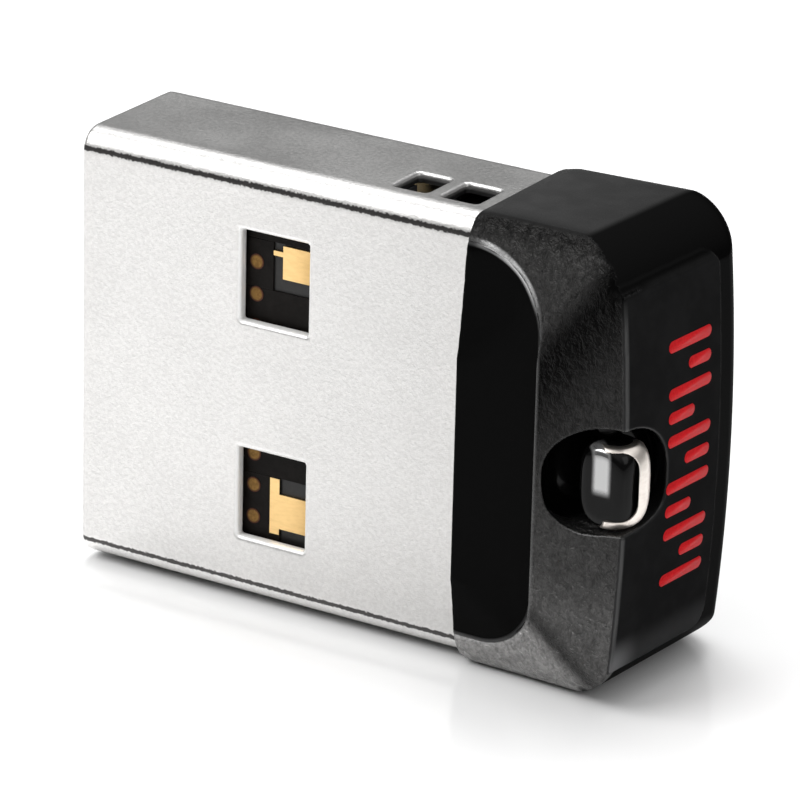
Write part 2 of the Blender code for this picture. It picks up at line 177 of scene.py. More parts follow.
def net(field, low, high, step):
    """Points and quads of the zero surface of a field that is negative inside."""
    start = np.array(low, float) - 1.37 * step
    counts = [int((b - a) / step + 4) for a, b in zip(start, high)]
    lines = [start[i] + step * np.arange(counts[i]) for i in range(3)]
    value = sample(field, lines, step)
    inside = value < 0
    size = [n - 1 for n in counts]
    corners = [(i, j, k) for i in (0, 1) for j in (0, 1) for k in (0, 1)]

    def corner(array, c):
        return array[c[0]:c[0] + size[0], c[1]:c[1] + size[1], c[2]:c[2] + size[2]]

    filled = sum(corner(inside, c).astype(np.int8) for c in corners)
    active = (filled > 0) & (filled < 8)
    cells = np.argwhere(active)
    index = np.full(size, -1)
    index[active] = np.arange(len(cells))
    at = {c: corner(value, c)[active] for c in corners}
    total = np.zeros((len(cells), 3))
    hits = np.zeros(len(cells))
    for a in corners:
        for axis in range(3):
            if a[axis]:
                continue
            b = tuple(1 if i == axis else a[i] for i in range(3))
            cross = (at[a] < 0) != (at[b] < 0)
            share = at[a][cross] / (at[a][cross] - at[b][cross])
            point = np.repeat(np.array([a], float), cross.sum(), 0)
            point[:, axis] += share
            total[cross] += point
            hits[cross] += 1
    points = start + (cells + total / hits[:, None]) * step
    quads = []
    for axis in range(3):
        u, v = (axis + 1) % 3, (axis + 2) % 3
        near = [slice(1, -1)] * 3
        far = [slice(1, -1)] * 3
        near[axis], far[axis] = slice(0, -1), slice(1, None)
        before, after = inside[tuple(near)], inside[tuple(far)]
        place = np.argwhere(before != after)
        outward = before[before != after]
        place[:, [u, v]] += 1
        ring = []
        for du, dv in ((-1, -1), (0, -1), (0, 0), (-1, 0)):
            cell = place.copy()
            cell[:, u] += du
            cell[:, v] += dv
            ring.append(index[cell[:, 0], cell[:, 1], cell[:, 2]])
        ring = np.stack(ring, 1)
        ring[~outward] = ring[~outward][:, ::-1]
        quads.append(ring)
    return settle(field, points, step), np.concatenate(quads)


def make(name, points, faces, material, body="root"):
    """A smooth-shaded mesh piece from points in the plug's frame."""
    mesh = bpy.data.meshes.new(name)
    mesh.from_pydata((np.asarray(points, float) * MM + np.array(origin)).tolist(), [],
                     faces.tolist() if isinstance(faces, np.ndarray) else faces)
    mesh.polygons.foreach_set("use_smooth", [True] * len(mesh.polygons))
    obj = bpy.data.objects.new(name, mesh)
    bpy.context.scene.collection.objects.link(obj)
    mesh.materials.append(material)
    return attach(obj, body)


def round_normals(obj, field):
    """Shades a piece with its field's own normals, so that flats stay flat beside round edges."""
    co = np.zeros(len(obj.data.vertices) * 3, np.float32)
    obj.data.vertices.foreach_get("co", co)
    points = (co.reshape(-1, 3).astype(float) - np.array(origin)) / MM
    slope = gradient(field, points, 0.004)
    slope /= np.maximum(np.linalg.norm(slope, axis=1, keepdims=True), 1e-9)
    obj.data.normals_split_custom_set_from_vertices(slope.tolist())


def layer(obj, name, values):
    """Stores a distance in millimetres for each vertex, for the materials to read."""
    found = obj.data.attributes.new(name, "FLOAT", "POINT")
    found.data.foreach_set("value", np.asarray(values, np.float32))


def flatten(obj, degrees):
    """Merges faces that lie in one plane."""
    mod = obj.modifiers.new("Merge", "DECIMATE")
    mod.decimate_type = "DISSOLVE"
    mod.angle_limit = math.radians(degrees)
    graph = bpy.context.evaluated_depsgraph_get()
    mesh = bpy.data.meshes.new_from_object(obj.evaluated_get(graph))
    obj.modifiers.clear()
    obj.data = mesh


# ---------------------------------------------------------------- fields

def front_crease(x, z):
    """How far the scoop side drops away above and below its middle panel."""
    along = np.clip((x - SCOOP_X) / (RIDGE_X - SCOOP_X), -0.3, 1)
    drop = 0
    for height, (start, rise, slope, bend) in ((z, UPPER_CREASE), (-z, LOWER_CREASE)):
        past = height - (start + rise * along)
        drop = drop + slope * np.maximum(past, 0) * ease(past, -0.1, bend)
    return drop


def cap_parts(p):
    """Distances past the narrow sides, the scoop side, the back and the end of the cap."""
    x, y, z = p[:, 0], p[:, 1], p[:, 2]
    run = (x - RIM_X) / CAP_LENGTH
    half = CAP_Z - (CAP_Z - RIM_Z) * np.clip(1 - (x - RIM_X) / RIM_LEAD, 0, 1)
    side = np.abs(z) - half
    front = -y - (RIM_FRONT + (RIDGE_FRONT - RIM_FRONT) * run)
    back = y - (RIM_BACK + (END_BACK - RIM_BACK) * run)
    end = x - (RIDGE_X + END_TILT * (y + RIDGE_FRONT) - END_BOW * z * z)
    return side, front, back, end


def panel_plan(p):
    """Distance to the border of the flat printed panel on the end face."""
    return plan(p[:, 1], p[:, 2], -RIDGE_FRONT - 2, PANEL_EDGE_Y, PANEL_LOW, PANEL_HIGH, 0.5)


def scoop_plan(p):
    """Distance to the scoop's outline on the front, which runs out past the rim."""
    x, z = p[:, 0], p[:, 2]
    upper = plan(x, z, RIM_X - 4, SCOOP_X, -SCOOP_BOTTOM, SCOOP_TOP, SCOOP_TOP_CORNER)
    lower = plan(x, z, RIM_X - 4, SCOOP_X, -SCOOP_BOTTOM, SCOOP_TOP, SCOOP_BOTTOM_CORNER)
    return np.where(z > 0, upper, lower)


def scoop(p):
    """The scoop's hollow, whose floor slopes down toward the cap's end."""
    x, y = p[:, 0], p[:, 1]
    run = np.clip((x - RIM_X) / (SCOOP_X - RIM_X), -1, 1)
    floor = -RIM_FRONT + SCOOP_DEPTH + SCOOP_RUN * run
    return both(scoop_plan(p), y - floor, 0.1)


def mouth_frame(p):
    """Across, into and up the lanyard opening, which is cut square to the ridge."""
    x, y = p[:, 0] - RIDGE_X, p[:, 1] + RIDGE_FRONT
    return (x + y) * math.sqrt(0.5), (y - x) * math.sqrt(0.5), p[:, 2]


def drum(p):
    """Outline of the lanyard opening: flat below, an arch above."""
    across, _, up = mouth_frame(p)
    u = np.abs(across - MOUTH_MID) / MOUTH_HALF
    v = np.abs(up) / np.where(up > 0, MOUTH_UP, MOUTH_DOWN - MOUTH_LIFT * ease(across, -1.0, 0.1))
    power = np.where(up > 0, np.where(across < MOUTH_MID, ARCH_LEFT, ARCH_RIGHT), ARCH_FOOT)
    return ((u ** power + v ** power + 1e-9) ** (1 / power) - 1) * 1.45


def knob(p):
    """Rounded bar left standing in the lanyard opening."""
    across, into, up = mouth_frame(p)
    rho = np.hypot(across, into - KNOB_DEPTH)
    round_part = (rho / KNOB_R) ** KNOB_POWER + (np.abs(up - KNOB_Z) / KNOB_HALF) ** KNOB_POWER
    body = (round_part + 1e-9) ** (1 / KNOB_POWER) - 1
    stem = np.hypot(across + STEM_SHIFT, into - KNOB_DEPTH - STEM_DEPTH) - STEM_R
    return -both(-body * 0.9, -stem, 0.12)


def tunnel(p):
    """The lanyard opening without its bar."""
    _, into, _ = mouth_frame(p)
    return both(both(drum(p), into - MOUTH_DEPTH, 0.5), -knob(p), MOUTH_ROUND)


def cap(p):
    """The whole cap: faces, rounded corners, scoop, lanyard opening and the pocket for the plug."""
    side, front, back, end = cap_parts(p)
    creased = front + front_crease(p[:, 0], p[:, 2]) * ease(front, -1.2, 0)
    sunk = end + PANEL_SINK * ease(panel_plan(p), 0.0, 0.07)
    power = CORNER_POWER
    edge = np.maximum(1 + side / SIDE_ROUND, 0) ** 4 + np.maximum(1 + back / BACK_ROUND, 0) ** 4
    edge = edge ** (power / 4)
    corner = (edge + np.maximum(1 + sunk / END_ROUND, 0) ** power) ** (1 / power) - 1
    body = np.maximum(corner * CORNER_SCALE, both(side, creased, FRONT_ROUND))
    body = np.maximum(body, both(creased, sunk, RIDGE_ROUND))
    body = both(body, RIM_X - p[:, 0], RIM_ROUND)
    lip = LIP_THIN + LIP_EXTRA * ease(p[:, 2], 4.2, 4.9) * ease(p[:, 0], RIM_X, RIM_X + 0.5)
    body = both(body, -scoop(p), lip)
    body = both(body, -tunnel(p), MOUTH_ROUND)
    pocket = plan(p[:, 1], p[:, 2], -POCKET_Y, POCKET_Y, -POCKET_Z, POCKET_Z, 0.2)
    return np.maximum(body, -np.maximum(pocket, p[:, 0] - RIM_X - POCKET_DEPTH))


def openings(p):
    """Distance to the nearest window or slot border in the shell."""
    x, y, z = p[:, 0], p[:, 1], p[:, 2]
    low, high, near, far = WINDOWS
    found = np.maximum(plan(x, np.abs(z), low, high, near, far, 0.05), 1.2 - np.abs(y))
    for start, stop in SLOTS:
        slot = np.maximum(plan(x, y, start, stop, SLOT_LOW, SLOT_HIGH, 0.12), 4.5 - np.abs(z))
        found = np.minimum(found, slot)
    return found


def shell(p):
    """The plug's sheet, open at the tip, with rounded cut edges."""
    x, y, z = p[:, 0], p[:, 1], p[:, 2]
    outer = plan(y, z, -PLUG_Y, PLUG_Y, -PLUG_Z, PLUG_Z, PLUG_RADIUS)
    inner = plan(y, z, SHEET - PLUG_Y, PLUG_Y - SHEET, SHEET - PLUG_Z, PLUG_Z - SHEET, PLUG_RADIUS - SHEET)
    body = both(outer, -x, 0.13)
    body = both(body, -openings(p), np.where(np.abs(z) > NARROW_Z, 0.09, 0.12))
    body = np.maximum(body, x - RIM_X - 0.02)
    return both(body, -inner, 0.04)


# ---------------------------------------------------------------- materials

class Look:
    """A node material made step by step; sizes are in millimetres."""

    def __init__(self, name, **values):
        self.mat = bpy.data.materials.new(name)
        self.mat.use_nodes = True
        self.tree = self.mat.node_tree
        self.shader = self.tree.nodes["Principled BSDF"]
        coords = self.tree.nodes.new("ShaderNodeTexCoord")
        self.spot = coords.outputs["Object"]
        self.own = coords.outputs["Generated"]
        for key, value in values.items():
            self.shader.inputs[key.replace("_", " ")].default_value = value

    def feed(self, socket, value):
        if isinstance(value, bpy.types.NodeSocket):
            self.tree.links.new(value, socket)
        else:
            socket.default_value = value

    def math(self, operation, *values, clamp=False):
        node = self.tree.nodes.new("ShaderNodeMath")
        node.operation = operation
        node.use_clamp = clamp
        for socket, value in zip(node.inputs, values):
            self.feed(socket, value)
        return node.outputs[0]

    def stretched(self, scale, turn=(0, 0, 0)):
        node = self.tree.nodes.new("ShaderNodeMapping")
        self.feed(node.inputs["Vector"], self.spot)
        node.inputs["Scale"].default_value = scale
        node.inputs["Rotation"].default_value = turn
        return node.outputs[0]

    def noise(self, size, detail=2.0, rough=0.5, vector=None, warp=0.0):
        node = self.tree.nodes.new("ShaderNodeTexNoise")
        self.feed(node.inputs["Vector"], vector or self.spot)
        node.inputs["Scale"].default_value = 1 / (size * MM)
        node.inputs["Detail"].default_value = detail
        node.inputs["Roughness"].default_value = rough
        node.inputs["Distortion"].default_value = warp
        return node.outputs["Fac"]

    def grade(self, value, low, high, start=0.0, stop=1.0, kind="SMOOTHSTEP"):
        """Goes from start to stop as value goes from low to high."""
        node = self.tree.nodes.new("ShaderNodeMapRange")
        node.interpolation_type = kind
        for socket, part in zip(node.inputs, (value, low, high, start, stop)):
            self.feed(socket, part)
        return node.outputs[0]

    def mix(self, share, first, second):
        """First colour where share is 0, second where it is 1."""
        node = self.tree.nodes.new("ShaderNodeMix")
        node.data_type = "RGBA"
        for key, value in ((0, share), (6, first), (7, second)):
            colour = isinstance(value, tuple)
            self.feed(node.inputs[key], (*value, 1) if colour else value)
        return node.outputs[2]

    def run(self, operation, values):
        """One operation taken over any number of values in turn."""
        total = values[0]
        for value in values[1:]:
            total = self.math(operation, total, value)
        return total

    def plus(self, *values):
        return self.run("ADD", values)

    def times(self, *values):
        return self.run("MULTIPLY", values)

    def most(self, *values):
        return self.run("MAXIMUM", values)

    def minus(self, first, second):
        return self.math("SUBTRACT", first, second)

    def size(self, value):
        return self.math("ABSOLUTE", value)

    def blend(self, share, first, second):
        """First value where share is 0, second where it is 1."""
        return self.plus(self.times(self.minus(1.0, share), first), self.times(share, second))

    def stored(self, name):
        """A distance kept for each vertex by layer()."""
        node = self.tree.nodes.new("ShaderNodeAttribute")
        node.attribute_name = name
        return node.outputs["Fac"]

    def parts(self, vector=None):
        node = self.tree.nodes.new("ShaderNodeSeparateXYZ")
        self.feed(node.inputs[0], vector or self.spot)
        return node.outputs

    def place(self):
        """x, y and z in the plug's frame, in millimetres."""
        return [self.math("DIVIDE", self.minus(value, start), MM)
                for value, start in zip(self.parts(), origin)]

    def bump(self, height, depth):
        """Height from 0 to 1, raised by depth millimetres."""
        node = self.tree.nodes.new("ShaderNodeBump")
        node.inputs["Distance"].default_value = depth * MM
        node.inputs["Strength"].default_value = 1.0
        self.feed(node.inputs["Height"], height)
        self.feed(self.shader.inputs["Normal"], node.outputs["Normal"])

    def colour(self, value):
        self.feed(self.shader.inputs["Base Color"], value)

    def roughness(self, value):
        self.feed(self.shader.inputs["Roughness"], value)

    def metallic(self, value):
        self.feed(self.shader.inputs["Metallic"], value)

    def coat(self, value):
        self.feed(self.shader.inputs["Coat Weight"], value)

    def specular(self, level):
        self.shader.inputs["Specular IOR Level"].default_value = level


def steel_look():
    """Bead-blasted nickel. Its colour holds painted light: painted highlights on the cut edges, a painted
    dark reflection line where each long edge starts to bend, a painted grey reflection line on the rounding
    of each long edge, and painted shade on the narrow sides, toward the cap and on the inner walls.
    """
    look = Look("satin_nickel")
    x, y, z = look.place()
    depth, level = look.size(y), look.size(z)
    grain = look.noise(0.09, 3.0, 0.6)
    cloud = look.noise(2.6, 2.0, 0.5)
    ragged = look.plus(level, look.grade(look.noise(0.08, 2.0, 0.6), 0.3, 0.7, -0.02, 0.02))

    # A dark line on the broad faces where each long edge starts to bend: a painted reflection, in colour
    # only.
    bend = look.grade(look.size(look.minus(ragged, PLUG_Z - 0.50)), 0.085, 0.045)
    bend = look.times(bend, look.grade(depth, PLUG_Y - 0.12, PLUG_Y - 0.06))
    # A thin grey line on the rounding of each long edge: a painted reflection.
    painted_crest_line = look.grade(look.size(look.minus(ragged, PLUG_Z - 0.11)), 0.032, 0.012)
    painted_crest_line = look.times(painted_crest_line, look.grade(depth, PLUG_Y - 0.5, PLUG_Y - 0.4))
    # The cut edges of the windows and slots are painted bright and made less metallic: a painted highlight
    # on their rolled rims.
    cut = look.times(look.grade(look.stored("opening"), 0.10, 0.04),
                     look.grade(level, NARROW_Z, NARROW_Z - 0.1, 0.12, 1.0))
    # The inner walls toward the cap are painted near black: painted shade.
    inside = look.times(look.grade(look.stored("inner"), -0.12, -0.2), look.grade(x, 7.4, 8.2))
    # The narrow sides get a much darker grey: painted shade, for the dim surroundings they mirror.
    narrow = look.grade(level, PLUG_Z - 0.10, PLUG_Z - 0.02)
    # The steel darkens slightly toward the cap: painted shade.
    shade_toward_cap = look.grade(x, 5.0, RIM_X, 0.0, 0.16, "LINEAR")

    steel = look.mix(look.grade(grain, 0.35, 0.65), (0.69, 0.68, 0.668), (0.765, 0.755, 0.742))
    steel = look.mix(shade_toward_cap, steel, (0.05, 0.05, 0.05))
    shaded_narrow_grey = look.mix(look.grade(grain, 0.3, 0.7), (0.33, 0.33, 0.325), (0.40, 0.395, 0.39))
    steel = look.mix(narrow, steel, shaded_narrow_grey)
    steel = look.mix(inside, steel, (0.012, 0.012, 0.012))
    steel = look.mix(look.times(painted_crest_line, 0.45), steel, (0.12, 0.12, 0.12))
    steel = look.mix(look.times(bend, 0.93), steel, (0.02, 0.018, 0.018))
    look.colour(look.mix(cut, steel, (0.93, 0.93, 0.92)))
    look.metallic(look.grade(cut, 0.0, 1.0, 1.0, 0.25))
    look.roughness(look.plus(look.grade(cloud, 0.3, 0.7, 0.34, 0.40),
                             look.grade(grain, 0.3, 0.7, -0.02, 0.02)))
    look.bump(look.plus(grain, look.times(look.noise(0.03, 2.0), 0.4)), 0.009)
    return look.mat


def leather_light(look, level, along):
    """Grey of the textured panel, all painted light and shade: a dark diagonal band at the upper crease,
    lighter toward the foot.
    """
    above = look.minus(level, look.grade(along, 0.0, 1.0, 2.6, 6.0, "LINEAR"))
    below = look.minus(look.grade(along, 0.0, 1.0, -3.9, -6.1, "LINEAR"), level)
    painted_top_light = look.times(look.grade(above, 0.0, 1.4, 0.0, 0.034), look.grade(along, 0.4, 0.75, 1.0, 0.25),
                       look.grade(level, 5.5, 6.05, 1.0, 0.4))
    painted_mid_light = look.plus(look.grade(above, -0.2, -3.2, 0.0, 0.020), look.grade(level, 0.5, -2.2, 0.0, 0.028),
                      look.grade(level, -2.4, -3.9, 0.0, 0.042))
    painted_mid_light = look.times(painted_mid_light, look.grade(look.size(below), 0.55, 0.0, 1.0, 0.45))
    painted_fold_light = look.times(look.grade(below, 0.1, 0.8, 0.0, 0.19), look.grade(along, 0.85, 0.3, 0.2, 1.0))
    return look.plus(painted_top_light, painted_mid_light, painted_fold_light, 0.003)


def bar_highlight_patch(look, x, y, level):
    """Share of the painted highlight patch on the left of the lanyard bar."""
    across = look.minus(look.plus(x, y), RIDGE_X - RIDGE_FRONT)
    into = look.plus(look.minus(y, x), RIDGE_X + RIDGE_FRONT)
    return look.times(look.grade(look.size(look.plus(across, 0.68)), 0.30, 0.14),
                      look.grade(look.size(look.minus(level, 0.42)), 0.72, 0.46), look.grade(into, 1.5, 1.3))


def cap_look():
    """Black moulding: leathery on the front panel, satin on the sides, glossy in the scoop and the mouth.
    Its colour holds painted light and shade on the front panel, the sides and the end panel, and painted
    highlights along the ridge, on the scoop's upper lip and on the lanyard bar.
    """
    look = Look("black_moulding")
    look.specular(0.0)
    look.shader.inputs["Coat Roughness"].default_value = 0.1
    x, y, level = look.place()
    scoop_at, mouth_at, end_at = look.stored("scoop"), look.stored("mouth"), look.stored("end")
    side_at, front_at, panel_at = look.stored("side"), look.stored("front"), look.stored("panel")
    along = look.grade(x, SCOOP_X, RIDGE_X, 0.0, 1.0, "LINEAR")

    in_scoop = look.grade(scoop_at, 0.02, -0.04)
    in_mouth = look.grade(mouth_at, 0.03, -0.03)
    scoop_lip = look.grade(look.size(scoop_at), 0.14, 0.05)
    mouth_rim = look.grade(look.size(mouth_at), 0.12, 0.04)
    margin = look.grade(level, -1.0, -4.0, 0.45, 0.0)
    past_edge = look.plus(end_at, look.grade(front_at, -0.9, -0.1, 1.6, margin))
    turned = look.times(look.grade(past_edge, -0.14, 0.14), look.grade(side_at, -1.2, -0.9))
    beyond = look.times(look.grade(panel_at, 0.02, 0.08), look.grade(end_at, -1.2, -0.9),
                        look.grade(front_at, -0.15, -0.35))
    turned = look.most(turned, beyond)
    on_panel = look.times(look.grade(panel_at, 0.06, 0.0), look.grade(end_at, -0.10, -0.03))
    glossy = look.most(in_scoop, in_mouth, turned)
    matt = look.times(look.minus(1.0, glossy), look.minus(1.0, on_panel))
    leather = look.times(matt, look.grade(front_at, -0.95, -0.65))
    ridge = look.times(look.grade(look.plus(front_at, end_at), -0.16, -0.03),
                       look.minus(1.0, look.most(in_mouth, turned)), look.grade(side_at, -0.9, -2.2))

    wrinkle = look.noise(0.24, 3.0, 0.6, look.stretched((1.0, 1.0, 0.75), (0, 0.6, 0)), 0.6)
    fine = look.noise(0.10, 3.0, 0.6)
    tone = look.grade(look.noise(1.1, 3.0, 0.6), 0.3, 0.7)
    relief = look.times(look.plus(wrinkle, look.times(fine, 0.22)), leather)
    sand = look.times(look.noise(0.06, 2.0), matt, 0.05)
    look.bump(look.plus(relief, sand), 0.24)

    speck = look.grade(look.plus(look.times(wrinkle, 0.4), look.times(fine, 0.6)), 0.38, 0.64, 0.76, 1.26)
    # The panel's grey is its grain times painted light and shade.
    hide_with_painted_light = look.mix(look.times(leather_light(look, level, along), speck), BLACK, (1.0, 0.985, 0.97))
    # The sides' own satin grey, with painted shade that darkens it toward the cap's end and toward the front
    # edge.
    satin = look.times(look.grade(tone, 0.0, 1.0, 0.034, 0.041),
                       look.grade(x, RIM_X, RIM_X + 3.6, 1.0, 0.58, "LINEAR"),
                       look.grade(front_at, -1.5, -0.6, 1.0, 0.3))
    # A pale strip at the foot of the end panel, toward the front: painted light.
    foot = look.times(look.grade(level, -4.0, -4.8), look.grade(y, -1.7, -3.0, 0.02, 0.12))
    panel = look.plus(look.grade(tone, 0.0, 1.0, 0.0095, 0.0120), foot)
    body = look.mix(leather, look.mix(satin, BLACK, WHITE), hide_with_painted_light)
    body = look.mix(on_panel, body, look.mix(panel, BLACK, (1, 1, 1.02)))
    # A lighter line along the ridge: a painted highlight.
    body = look.mix(ridge, body, (0.060, 0.060, 0.060))

    # A light metallic grey where the scoop's upper lip and the lanyard bar catch the light: painted
    # highlights.
    painted_highlight_grey = (0.42, 0.42, 0.42)
    lip_shine = look.times(scoop_lip, look.grade(level, 3.9, 4.8),
                           look.grade(x, RIM_X + 0.15, RIM_X + 0.7, 0.1, 1.0))
    shine = look.most(lip_shine, look.times(bar_highlight_patch(look, x, y, level), in_mouth))
    # Near black of the glossy parts, with the painted highlights mixed in.
    ink = look.mix(shine, (0.0016, 0.0016, 0.0016), painted_highlight_grey)
    look.colour(look.mix(glossy, look.mix(shine, body, painted_highlight_grey), ink))
    look.metallic(look.most(look.times(look.most(leather, ridge, look.times(matt, 0.6)), 0.85), shine))
    rough = look.blend(leather, look.grade(tone, 0.0, 1.0, 0.36, 0.42),
                       look.grade(fine, 0.3, 0.7, 0.30, 0.42))
    look.roughness(look.blend(glossy, rough, look.grade(tone, 0.0, 1.0, 0.06, 0.10)))
    look.coat(look.most(look.times(scoop_lip, 0.8), look.times(mouth_rim, 0.5), look.times(in_mouth, 0.3),
                        look.times(look.most(in_scoop, turned), 0.06)))
    return look.mat


def plastic_look(name, colour, rough, size):
    """Plain plastic or ceramic with a fine grain of the given size."""
    look = Look(name)
    grain = look.noise(size, 3.0, 0.55)
    bright = tuple(min(1.0, c * 1.35 + 0.002) for c in colour)
    look.colour(look.mix(look.grade(grain, 0.3, 0.7), colour, bright))
    look.roughness(look.grade(grain, 0.3, 0.7, rough - 0.05, rough + 0.06))
    look.bump(grain, 0.008)
    return look.mat


def gold_look(name, colour, dark, rough, shade_span=None):
    """Plated metal with faint scratches; the last argument gives where along x a painted shade darkens it.
    """
    look = Look(name, Metallic=1.0)
    scratch = look.noise(0.25, 3.0, 0.6, look.stretched((1.0, 1.0, 3.0)))
    share = look.grade(scratch, 0.35, 0.75, 0.0, 0.25)
    # Painted shade that darkens the metal along x.
    if shade_span:
        darker = look.grade(look.place()[0], *shade_span)
        share = look.math("ADD", look.times(share, 0.5), darker, clamp=True)
    look.colour(look.mix(share, colour, dark))
    look.roughness(look.grade(scratch, 0.3, 0.7, rough, rough + 0.08))
    look.bump(scratch, 0.002)
    return look.mat


def pad_look():
    """Dull gold dot with a darker, redder rim."""
    look = Look("test_pad_gold", Metallic=0.6, Roughness=0.5)
    u, _, v = look.parts(look.own)
    squares = [look.math("POWER", look.minus(value, 0.5), 2.0) for value in (u, v)]
    away = look.math("SQRT", look.plus(*squares))
    grain = look.noise(0.07, 3.0)
    inner = look.mix(look.grade(grain, 0.3, 0.7), (0.17, 0.085, 0.018), (0.27, 0.15, 0.035))
    look.colour(look.mix(look.grade(away, 0.33, 0.46), inner, (0.07, 0.022, 0.010)))
    look.bump(grain, 0.006)
    return look.mat


def print_look():
    """Red ink, slightly uneven."""
    look = Look("red_print")
    look.specular(0.08)
    speck = look.noise(0.08, 3.0, 0.6)
    look.colour(look.mix(look.grade(speck, 0.3, 0.7), (0.50, 0.008, 0.012), (0.60, 0.014, 0.018)))
    look.roughness(look.grade(speck, 0.3, 0.7, 0.36, 0.5))
    look.bump(speck, 0.003)
    return look.mat


def floor_look():
    """Pale, slightly glossy table top."""
    look = Look("pale_floor", Roughness=0.17)
    look.specular(1.0)
    look.colour(look.mix(look.noise(60.0, 2.0), (0.90, 0.90, 0.90), (0.915, 0.915, 0.915)))
    return look.mat


# ---------------------------------------------------------------- pieces

def field_piece(name, field, low, high, step, material, stands_for):
    """A piece made from a field, in place of a CAD node."""
    points, quads = net(field, low, high, step)
    obj = make(name, points, quads, material)
    round_normals(obj, field)
    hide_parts(stands_for)
    return obj, points


def cap_piece():
    """The cap, with the distances that its material reads."""
    low = (RIM_X, -RIDGE_FRONT - 0.1, -CAP_Z)
    high = (RIDGE_X + 0.6, END_BACK + 0.1, CAP_Z)
    step = 0.068
    obj, points = field_piece("cap_moulding", cap, low, high, step, cap_look(), "cap_housing")
    side, front, _, end = cap_parts(points)
    layer(obj, "scoop", np.maximum(scoop_plan(points), -1.2 - front))
    layer(obj, "front", front + front_crease(points[:, 0], points[:, 2]) * ease(front, -1.2, 0))
    layer(obj, "panel", panel_plan(points))
    layer(obj, "mouth", np.maximum(drum(points) + 0.02, mouth_frame(points)[1] - MOUTH_DEPTH - 0.1))
    layer(obj, "end", end)
    layer(obj, "side", side)


def shell_piece():
    """The plug shell, with the distances that its material reads."""
    low = (0, -PLUG_Y, -PLUG_Z)
    high = (RIM_X + 0.1, PLUG_Y, PLUG_Z)
    obj, points = field_piece("plug_sheet", shell, low, high, 0.072, steel_look(), "plug_shell")
    layer(obj, "opening", openings(points))
    layer(obj, "inner", plan(points[:, 1], points[:, 2], -PLUG_Y, PLUG_Y, -PLUG_Z, PLUG_Z, PLUG_RADIUS))
    flatten(obj, 0.3)
    round_normals(obj, shell)


def slab(name, outline, low, high, material, bevel):
    """Extrudes an (x, z) outline between two y levels and rounds its edges."""
    bm = bmesh.new()
    first = [bm.verts.new(spot(x, low, z)) for x, z in outline]
    last = [bm.verts.new(spot(x, high, z)) for x, z in outline]
    bm.faces.new(first)
    bm.faces.new(list(reversed(last)))
    for i in range(len(outline)):
        j = (i + 1) % len(outline)
        bm.faces.new((first[i], first[j], last[j], last[i]))
    bmesh.ops.recalc_face_normals(bm, faces=bm.faces)
    mesh = bpy.data.meshes.new(name)
    bm.to_mesh(mesh)
    bm.free()
    obj = bpy.data.objects.new(name, mesh)
    bpy.context.scene.collection.objects.link(obj)
    mesh.materials.append(material)
    soften(obj, bevel)
    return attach(obj, "root")


def soften(obj, width):
    """Rounds the sharp edges of a piece."""
    mod = obj.modifiers.new("Round", "BEVEL")
    mod.width = width * MM
    mod.segments = 2
    mod.limit_method = "ANGLE"
    mod.harden_normals = True
    obj.data.polygons.foreach_set("use_smooth", [True] * len(obj.data.polygons))
    weighted = obj.modifiers.new("Weighted", "WEIGHTED_NORMAL")
    weighted.keep_sharp = True


def mask_pieces():
    """Solder mask over the board, in strips that leave the recesses round the gold pads open."""
    mask = plastic_look("solder_mask", (0.005, 0.0040, 0.0034), 0.45, 0.2)
    mask.node_tree.nodes["Principled BSDF"].inputs["Specular IOR Level"].default_value = 0.08
    low, high = BOARD_Y - MASK_FRONT, BOARD_Y - MASK_BACK
    left, right = MASK_X
    upper_left, upper_right, upper_low, upper_high = UPPER_RECESS
    lower_left, lower_right, lower_low, lower_high = LOWER_RECESS
    strips = {"mask_top": (left, right, upper_high, MASK_Z),
              "mask_upper_left": (left, upper_left, upper_low, upper_high),
              "mask_upper_right": (upper_right, right, upper_low, upper_high),
              "mask_middle": (left, right, lower_high, upper_low),
              "mask_lower_left": (left, lower_left, lower_low, lower_high),
              "mask_lower_right": (lower_right, right, lower_low, lower_high),
              "mask_bottom": (left, right, -MASK_Z, lower_low)}
    for name, (x0, x1, z0, z1) in strips.items():
        slab(name, [(x0, z0), (x1, z0), (x1, z1), (x0, z1)], low, high, mask, MASK_BEVEL)


def crescent_highlight_piece():
    """A thin bright metallic skin round the far side and the foot of the lanyard bar, standing for the
    bright crescent reflection there: a painted reflection.
    """
    def field(p):
        across, into, up = mouth_frame(p)
        skin = np.abs(knob(p) + 0.01) - 0.045
        outer = plan(across, up - KNOB_Z, -1.6, 0.97, -1.15, 1.10, 0.5)
        inner = plan(across, up - KNOB_Z, -1.6, 0.42, -0.82, 0.98, 0.45)
        ring = np.maximum(both(outer, -inner, 0.05), -0.42 - across)
        return np.maximum(both(skin, ring, 0.03), into - KNOB_DEPTH + 0.02)

    # Beige metal colour for the painted crescent reflection.
    look = gold_look("painted_crescent_highlight", (0.86, 0.80, 0.74), (0.60, 0.52, 0.46), 0.30)
    inward = KNOB_DEPTH * math.sqrt(0.5)
    mid = np.array((RIDGE_X - inward, -RIDGE_FRONT + inward, KNOB_Z))
    reach = (1.1, 1.1, 1.25)
    points, quads = net(field, mid - reach, mid + reach, 0.035)
    obj = make("lanyard_bar_highlight", points, quads, look)
    round_normals(obj, field)


def mark_pieces():
    """A plain row of rounded red bars printed on the end face."""
    ink = print_look()
    for number, (mid, level, length) in enumerate(MARK_BARS, 1):
        straight = length / 2 - MARK_RADIUS
        outline = []
        for turn in range(16):
            angle = math.tau * turn / 16 + 0.001
            shift = straight if math.cos(angle) > 0 else -straight
            outline.append((mid + shift + MARK_RADIUS * math.cos(angle),
                            level + MARK_RADIUS * math.sin(angle)))
        points, count = [], len(outline)
        for rise in (MARK_FOOT, MARK_RISE):
            for y, z in outline:
                points.append((RIDGE_X + END_TILT * (y + RIDGE_FRONT) - END_BOW * z * z + rise, y, z))
        faces = [list(range(count, 2 * count))]
        faces += [[i, (i + 1) % count, count + (i + 1) % count, count + i] for i in range(count)]
        make("mark_bar_%d" % number, points, faces, ink)


